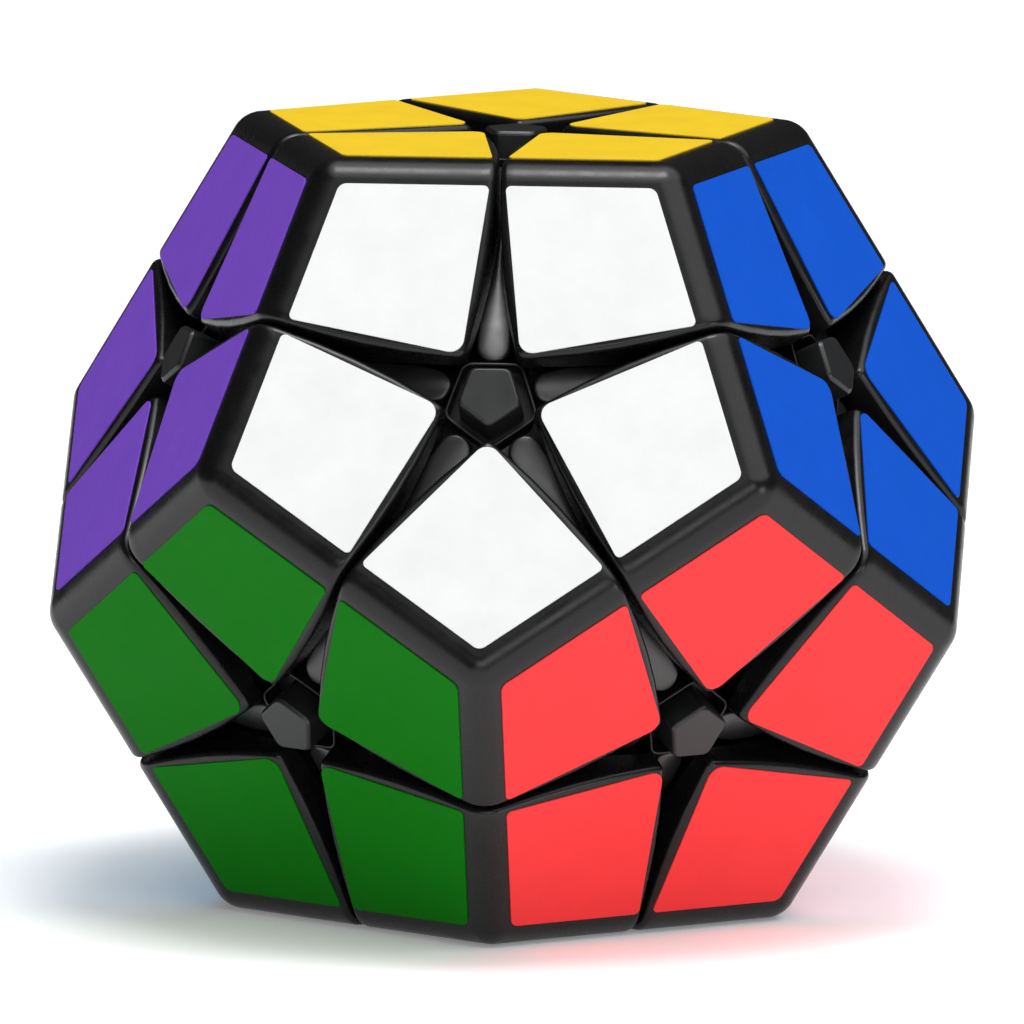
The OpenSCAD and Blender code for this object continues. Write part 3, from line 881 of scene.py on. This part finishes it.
class PUZZLE_OT_stickers(PuzzleOperator, bpy.types.Operator):
    """Put the sixty vinyl stickers on the corners"""
    bl_idname = "puzzle.stickers"
    bl_label = "Stickers"

    def execute(self, context):
        scene = context.scene
        mesh = sticker_mesh(scene.puzzle_sticker, scene.puzzle_cuts)
        for face, name in enumerate(COLOURS):
            finish = vinyl(f"{name} vinyl", getattr(scene.puzzle_colours, name))
            for layer in BODIES:
                owned = [corner for corner in CORNERS if face in corner and layer_of(corner) == layer]
                if not owned:
                    continue
                turns = [sticker_turn(face, corner) for corner in owned]
                node = next(n for n in (f"{layer}_{name}_stickers", f"{layer}_{name}_sticker")
                            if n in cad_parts)
                make_piece(f"{node}_vinyl", mesh, turns, node, finish)
        return {"FINISHED"}


def sticker_turn(face, corner):
    """Rotation that lays the sticker on a face, its outer end towards a corner."""
    upright = FACES[face]
    middle = sum((FACES[other] for other in corner), Vector())
    outwards = (middle - upright * middle.dot(upright)).normalized()
    return Matrix((outwards, upright.cross(outwards), upright)).transposed().to_4x4()


class PUZZLE_OT_works(PuzzleOperator, bpy.types.Operator):
    """Finish the parts inside: the core, the feet, the screws, the springs and the washers"""
    bl_idname = "puzzle.works"
    bl_label = "Works"

    def execute(self, context):
        colours = context.scene.puzzle_colours
        core = moulded_plastic("core plastic", colours.core, 0.42, 0.2, 0.4)
        steel = plated_steel("plated steel", colours.steel)
        finishes = {"core": core, "screws": steel, "springs": steel, "washers": steel}
        finishes.update({f"{layer}_corner_feet": core for layer in BODIES})
        for node, material in finishes.items():
            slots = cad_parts[node].data.materials
            slots.clear()
            slots.append(material)
        return {"FINISHED"}


# Soft boxes: name, place and size in metres, power in watts
SOFT_BOXES = (
    ("overhead", (0.03, -0.1, 0.6), (0.26, 0.2), 1.8),
    ("front", (0.1, -0.95, 0.3), (0.6, 0.22), 1.6),
    ("side", (0.75, -0.7, 0.05), (0.35, 0.3), 1.6),
)
# Wide soft light from the sky
SKY_FROM = (0.25, -0.12, 0.96)
SKY_STRENGTH = 2.6
SKY_ANGLE = math.radians(80)
# The studio's own light by height and from left to right: start, end, strength at each
LIGHT_BY_HEIGHT = (0, 0.6, 1.35, 0.62)
LIGHT_BY_SIDE = (-0.8, 0.2, 0.38, 1)
# The floor's painted glow, which lifts the shadows cast on it, and the far end of what the camera sees in
# metres
FLOOR_PAINTED_GLOW = 0.18
CAMERA_FAR = 100


def soft_box(name, place, size, power):
    """A rectangular studio light that faces the puzzle."""
    lamp = bpy.data.lights.new(name, "AREA")
    lamp.shape = "RECTANGLE"
    lamp.size, lamp.size_y = size
    lamp.energy = power
    light = bpy.data.objects.new(name, lamp)
    bpy.context.scene.collection.objects.link(light)
    light.location = place
    light.rotation_mode = "QUATERNION"
    light.rotation_quaternion = (-Vector(place)).to_track_quat("-Z", "Y")


def sky_light():
    """A wide sun that fills the gaps from above."""
    sun = bpy.data.objects.new("sky", bpy.data.lights.new("sky", "SUN"))
    bpy.context.scene.collection.objects.link(sun)
    sun.rotation_mode = "QUATERNION"
    sun.rotation_quaternion = Vector(SKY_FROM).to_track_quat("Z", "Y")
    sun.data.energy = SKY_STRENGTH
    sun.data.angle = SKY_ANGLE


def paper_floor(size, height):
    """A wide floor of pale paper, a touch uneven, that glows with painted light to lift the shadows on it.
    """
    material, tree, shader, place = start_material("pale paper")
    clouds = noise(tree, place, 0.4, 3)
    tree.links.new(two_shades(tree, stretched(tree, clouds, 0, 1), (0.95, 0.95, 0.95), (0.98, 0.98, 0.98)),
                   shader.inputs["Base Color"])
    shader.inputs["Roughness"].default_value = 0.9
    shader.inputs["Specular IOR Level"].default_value = 0.1
    # Painted light: the floor glows evenly, though it is no lamp, to lift the shadows cast on it
    shader.inputs["Emission Color"].default_value = (1, 1, 1, 1)
    shader.inputs["Emission Strength"].default_value = FLOOR_PAINTED_GLOW
    bm = bmesh.new()
    bmesh.ops.create_grid(bm, x_segments=4, y_segments=4, size=size / 2,
                          matrix=Matrix.Translation((0, 0, height)))
    mesh = bpy.data.meshes.new("floor")
    bm.to_mesh(mesh)
    bm.free()
    mesh.materials.append(material)
    floor = bpy.data.objects.new("floor", mesh)
    bpy.context.scene.collection.objects.link(floor)
    return floor


def studio_world():
    """Even white light, dimmer from above so that the soft boxes show in the plastic."""
    world = bpy.data.worlds.new("studio")
    world.use_nodes = True
    tree = world.node_tree
    background = tree.nodes["Background"]
    place = tree.nodes.new("ShaderNodeTexCoord").outputs["Generated"]
    split = tree.nodes.new("ShaderNodeSeparateXYZ")
    tree.links.new(place, split.inputs["Vector"])
    both = tree.nodes.new("ShaderNodeMath")
    both.operation = "MULTIPLY"
    tree.links.new(ramp(tree, split.outputs["Z"], *LIGHT_BY_HEIGHT), both.inputs[0])
    tree.links.new(ramp(tree, split.outputs["X"], *LIGHT_BY_SIDE), both.inputs[1])
    tree.links.new(both.outputs["Value"], background.inputs["Strength"])
    return world


class PUZZLE_OT_stage(PuzzleOperator, bpy.types.Operator):
    """Set the floor, the lights and the camera"""
    bl_idname = "puzzle.stage"
    bl_label = "Stage"

    def execute(self, context):
        scene, stage = context.scene, context.scene.puzzle_stage
        floor = paper_floor(stage.floor_size, CAD_BOX[0].z)
        scene.world = studio_world()
        scene.view_settings.view_transform = "Standard"
        for box in SOFT_BOXES:
            soft_box(*box)
        sky_light()

        # The camera looks back along a direction given by its azimuth and elevation
        azimuth, elevation = stage.azimuth, stage.elevation
        back = Vector((math.sin(azimuth) * math.cos(elevation), -math.cos(azimuth) * math.cos(elevation),
                       math.sin(elevation)))
        level = Vector((math.cos(azimuth), math.sin(azimuth), 0))
        upright = back.cross(level)
        right = level * math.cos(stage.roll) + upright * math.sin(stage.roll)
        up = back.cross(right)
        place = right * stage.aim_right + up * stage.aim_up + back * stage.distance
        camera = bpy.data.objects.new("camera", bpy.data.cameras.new("camera"))
        scene.collection.objects.link(camera)
        camera.matrix_world = Matrix((right, up, back)).transposed().to_4x4()
        camera.location = place
        camera.data.lens = stage.lens
        camera.data.clip_end = CAMERA_FAR
        scene.camera = camera
        return {"FINISHED"}


OPERATORS = (PUZZLE_OT_corners, PUZZLE_OT_edges, PUZZLE_OT_hubs, PUZZLE_OT_caps, PUZZLE_OT_stickers,
             PUZZLE_OT_works, PUZZLE_OT_stage)


class PUZZLE_PT_sidebar(bpy.types.Panel):
    """Lists the sizes, the colours and the operators"""
    bl_label = "Twisty puzzle"
    bl_idname = "PUZZLE_PT_sidebar"
    bl_space_type = "VIEW_3D"
    bl_region_type = "UI"
    bl_category = "Puzzle"

    def draw(self, context):
        layout = self.layout
        for name, group in GROUPS.items():
            box = layout.box()
            box.label(text=name.capitalize())
            for prop in group.__annotations__:
                box.prop(getattr(context.scene, f"puzzle_{name}"), prop)
        for operator in OPERATORS:
            layout.operator(operator.bl_idname)


CLASSES = (*GROUPS.values(), *OPERATORS, PUZZLE_PT_sidebar)


def register():
    for cls in CLASSES:
        bpy.utils.register_class(cls)
    for name, group in GROUPS.items():
        setattr(bpy.types.Scene, f"puzzle_{name}", bpy.props.PointerProperty(type=group))


def unregister():
    for name in GROUPS:
        delattr(bpy.types.Scene, f"puzzle_{name}")
    for cls in reversed(CLASSES):
        bpy.utils.unregister_class(cls)


def main():
    """Builds everything in order."""
    register()
    bpy.ops.puzzle.stage()
    bpy.ops.puzzle.corners()
    bpy.ops.puzzle.edges()
    bpy.ops.puzzle.hubs()
    bpy.ops.puzzle.caps()
    bpy.ops.puzzle.stickers()
    bpy.ops.puzzle.works()


if __name__ == "__main__":
    main()
